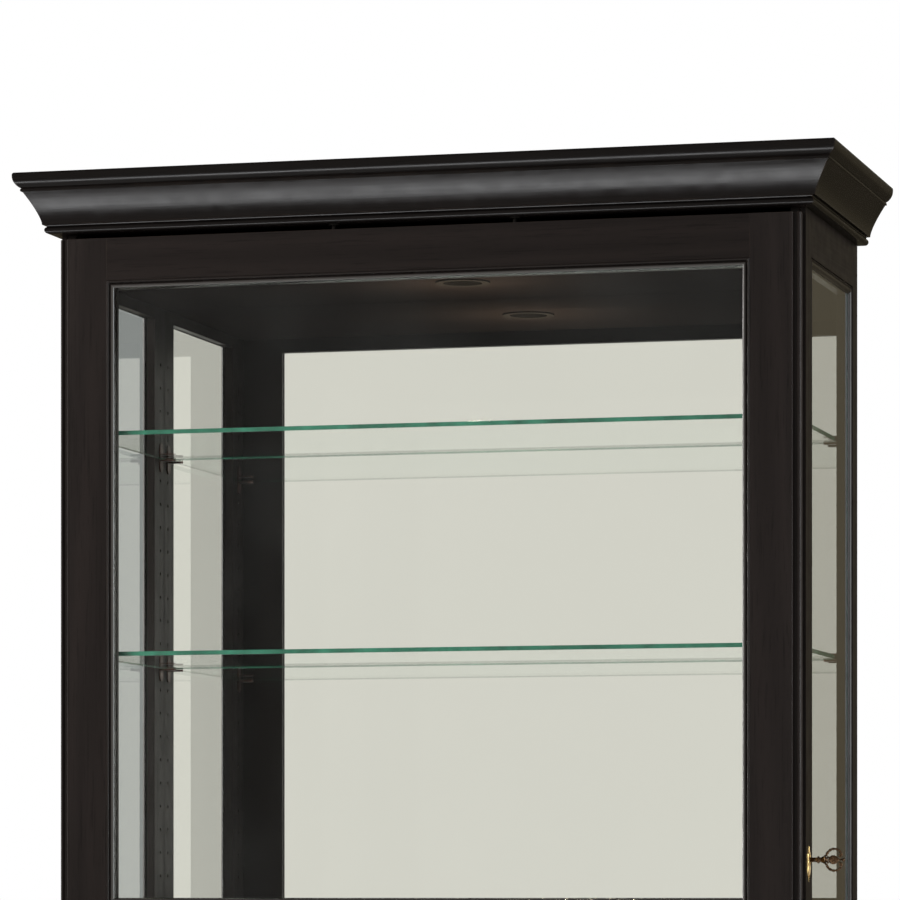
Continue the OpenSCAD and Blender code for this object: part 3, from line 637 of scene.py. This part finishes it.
# ---------------------------------------------------------------- studio
bm = bmesh.new()
bmesh.ops.create_grid(bm, x_segments=2, y_segments=2, size=60)
me = bpy.data.meshes.new("floor")
bm.to_mesh(me)
bm.free()
floor = bpy.data.objects.new("floor", me)
COLL.objects.link(floor)
mt = Mat("pale_floor")
vec = mt.coords()
c = mt.mix(mt.mapr(mt.noise(vec, 0.35, 4.0), 0.3, 0.7, 0.0, 1.0), (0.80, 0.80, 0.79), (0.84, 0.84, 0.83))
near = mt.principled(Base_Color=c, Roughness=0.55, Specular_IOR_Level=0.2)
# the floor far off glows instead of taking light: plain white for the camera, and for reflections a glow pale in front
# of the cabinet and dark behind it, standing in for the room's light
far = mt.n("ShaderNodeEmission")
lp = mt.n("ShaderNodeLightPath")
dist = mt.n("ShaderNodeVectorMath", operation="LENGTH")
mt.link(vec, dist.inputs[0])
cam_far = mt.math("MULTIPLY", mt.mapr(dist.outputs["Value"], 2.5, 11.0, 0.0, 1.0), lp.outputs["Is Camera Ray"], clamp=True)
gl_far = mt.math("MULTIPLY", mt.mapr(dist.outputs["Value"], 2.0, 6.0, 0.0, 1.0), lp.outputs["Is Glossy Ray"], clamp=True)
ysep = mt.n("ShaderNodeSeparateXYZ")
mt.link(vec, ysep.inputs[0])
behind = mt.mapr(ysep.outputs[1], 0.0, 0.8, 0.0, 1.0)
gl_far = mt.math("MAXIMUM", gl_far, mt.math("MULTIPLY", behind, lp.outputs["Is Glossy Ray"], clamp=True))
seen = mt.mix(behind, (0.80, 0.775, 0.715), (0.085, 0.072, 0.048))
mt.link(mt.mix(lp.outputs["Is Camera Ray"], seen, (1.0, 1.0, 1.0)), far.inputs["Color"])
both = mt.n("ShaderNodeMixShader")
mt.link(mt.math("MAXIMUM", cam_far, gl_far), both.inputs[0])
mt.link(near, both.inputs[1])
mt.link(far.outputs[0], both.inputs[2])
me.materials.append(mt.finish(both.outputs[0]))


def world_tree():
    """White behind, for the camera. For reflections: pale in front, dark olive behind, two bright side cards.
    For diffuse light: an even soft sky."""
    world = bpy.data.worlds.new("studio")
    scene.world = world
    world.use_nodes = True
    wm = Mat.__new__(Mat)
    wm.t = world.node_tree
    wm.t.nodes.clear()
    out = wm.n("ShaderNodeOutputWorld")
    d = wm.n("ShaderNodeTexCoord").outputs["Generated"]
    sep = wm.n("ShaderNodeSeparateXYZ")
    wm.link(d, sep.inputs[0])
    x, y, z = sep.outputs[0], sep.outputs[1], sep.outputs[2]

    def smooth(v, a, b):
        node = wm.n("ShaderNodeMapRange", interpolation_type="SMOOTHSTEP")
        wm.val(v, node.inputs[0])
        node.inputs[1].default_value, node.inputs[2].default_value = a, b
        return node.outputs[0]

    front = wm.ramp(wm.mapr(z, -0.1, 0.9, 0.0, 1.0), [(0.0, (0.82, 0.795, 0.735)), (0.30, (0.80, 0.775, 0.715)),
                                                    (0.62, (0.42, 0.41, 0.39)), (1.0, (0.30, 0.30, 0.29))])
    back = wm.ramp(wm.mapr(z, -0.1, 0.9, 0.0, 1.0), [(0.0, (0.120, 0.100, 0.062)), (1.0, (0.16, 0.15, 0.12))])
    g = wm.mix(smooth(y, -0.30, 0.15), front, back)
    side = wm.math("MULTIPLY", smooth(wm.math("ABSOLUTE", x), 0.84, 0.94), smooth(z, 0.50, 0.35))
    cards = wm.mix(smooth(x, -0.5, 0.5), (10.5, 10.2, 10.0), (5.2, 5.5, 5.6))
    g = wm.mix(side, g, cards)
    bg_gl, bg_cam, bg_df = (wm.n("ShaderNodeBackground") for _ in range(3))
    wm.link(g, bg_gl.inputs[0])
    path = wm.n("ShaderNodeLightPath")
    through = wm.math("GREATER_THAN", path.outputs["Transparent Depth"], 0.5)   # painted shade: the backdrop seen through the panes is drawn darker
    wm.link(wm.mix(through, (1.0, 1.0, 1.0), (0.37, 0.385, 0.38)), bg_cam.inputs[0])
    bg_df.inputs[0].default_value = (0.42, 0.42, 0.41, 1)
    m1, m2 = wm.n("ShaderNodeMixShader"), wm.n("ShaderNodeMixShader")
    wm.link(path.outputs["Is Diffuse Ray"], m1.inputs[0])
    wm.link(bg_gl.outputs[0], m1.inputs[1])
    wm.link(bg_df.outputs[0], m1.inputs[2])
    wm.link(path.outputs["Is Camera Ray"], m2.inputs[0])
    wm.link(m1.outputs[0], m2.inputs[1])
    wm.link(bg_cam.outputs[0], m2.inputs[2])
    wm.link(m2.outputs[0], out.inputs[0])
    world.cycles.sampling_method = "NONE"


world_tree()


def area(name, loc, target, size, power, col=(1, 1, 1), size_y=None):
    d = bpy.data.lights.new(name, "AREA")
    d.shape = "RECTANGLE"
    d.size = size
    d.size_y = size_y or size
    d.energy = power
    d.color = col
    o = bpy.data.objects.new(name, d)
    o.location = loc
    o.rotation_euler = (Vector(target) - Vector(loc)).to_track_quat("-Z", "Y").to_euler()
    o.visible_camera = False
    COLL.objects.link(o)
    return o


for lamp in (area("key_light", (-2.0, -2.3, 2.7), (-0.3, 0, 1.5), 1.3, 130, (1.0, 0.98, 0.96)),
             area("fill_light", (4.4, -0.9, 2.0), (0.4, 0, 1.1), 2.0, 75, (0.95, 0.98, 1.0)),
             area("top_light", (0.0, -0.6, 4.6), (0, 0, 0), 2.6, 50),
             area("back_light", (-3.0, 3.6, 3.2), (0, 0, 1.0), 2.2, 120)):
    lamp.visible_glossy = False

# low strips in front of the cabinet, which only the front crown moulding sees: they draw the bright lines along its hollows
strips = (area("crown_strip_near", (-0.2, -1.63, 0.03), (-0.2, -0.19, 1.92), 3.6, 135, (0.97, 0.98, 1.0), 0.56),
          area("crown_strip_far", (-0.2, -2.05, 0.03), (-0.2, -0.19, 1.92), 3.6, 32, (0.97, 0.98, 1.0), 0.22))
crown = bpy.data.collections.new("crown_only")
crown.objects.link(NODES["crown_front"])
for strip in strips:
    strip.light_linking.receiver_collection = crown
lock_card = area("lock_card", (1.35, 2.85, 1.15), (0.49, -0.13, 1.08), 1.6, 5, (1.0, 0.97, 0.90))
metalwork = bpy.data.collections.new("lock_only")
for n in ("key_ornate", "escutcheon_plate"):
    metalwork.objects.link(bpy.data.objects[n])
lock_card.light_linking.receiver_collection = metalwork
edge_cards = (area("edge_card_back", (1.36, 2.85, 1.45), (0.50, -0.2, 1.3), 0.7, 4, (1.0, 0.97, 0.90), 1.9),
              area("edge_card_side", (3.4, -0.95, 1.0), (0.50, -0.2, 1.2), 0.25, 150, (0.94, 0.98, 1.0), 2.2))
door_edge = bpy.data.collections.new("door_edge_only")
door_edge.objects.link(NODES["door_right_stile"])
for card in edge_cards:
    card.light_linking.receiver_collection = door_edge

lo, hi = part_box("lamp_bulb")
sp = bpy.data.lights.new("downlight", "SPOT")
sp.energy = 10
sp.color = (1.0, 0.82, 0.58)
sp.spot_size = math.radians(110)
sp.spot_blend = 0.8
sp.shadow_soft_size = 0.02
so = bpy.data.objects.new("downlight", sp)
so.location = ((lo.x + hi.x) / 2, (lo.y + hi.y) / 2, lo.z - 0.004)
COLL.objects.link(so)
glow = area("canopy_glow", ((lo.x + hi.x) / 2, (lo.y + hi.y) / 2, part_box("top_panel")[0].z - 0.13),
            ((lo.x + hi.x) / 2, (lo.y + hi.y) / 2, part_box("top_panel")[0].z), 0.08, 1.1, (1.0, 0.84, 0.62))
glow.visible_glossy = False
canopy = bpy.data.collections.new("canopy_only")
for n in ("top_panel", "lamp_housing"):
    canopy.objects.link(NODES[n])
glow.light_linking.receiver_collection = canopy

# ---------------------------------------------------------------- camera
# level camera with a raised lens, so that upright edges stay parallel, 15 degrees to the right of the front
TH, FOCAL, RISE = math.radians(15.07), 4677.0, 448.0
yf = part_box("door_left_stile")[0].y
cam_d = bpy.data.cameras.new("camera")
cam_d.sensor_width = 36.0
cam_d.lens = FOCAL / 900 * 36.0
cam = bpy.data.objects.new("camera", cam_d)
cam.location = (1.5865, yf - 5.755, 1.038)
cam.rotation_euler = Vector((-math.sin(TH), math.cos(TH), 0)).to_track_quat("-Z", "Y").to_euler()
COLL.objects.link(cam)
scene.camera = cam
# the lens is raised only at this station: from anywhere else the camera looks straight along its axis
fc = cam_d.driver_add("shift_y")
fc.driver.type = "SUM"
var = fc.driver.variables.new()
var.targets[0].id = cam
var.targets[0].data_path = "location.z"
for m in list(fc.modifiers):
    fc.modifiers.remove(m)
for z, v in ((-1000, 0), (0.988, 0), (1.038, RISE / 900), (1.088, 0), (1000, 0)):
    kp = fc.keyframe_points.insert(z, v)
    kp.interpolation = "LINEAR"

scene.view_settings.view_transform = "Standard"
scene.view_settings.look = "None"
scene.cycles.use_denoising = True
scene.cycles.max_bounces = 10
scene.cycles.transparent_max_bounces = 32
scene.cycles.transmission_bounces = 6
scene.cycles.glossy_bounces = 6
scene.cycles.caustics_reflective = False
scene.cycles.caustics_refractive = False
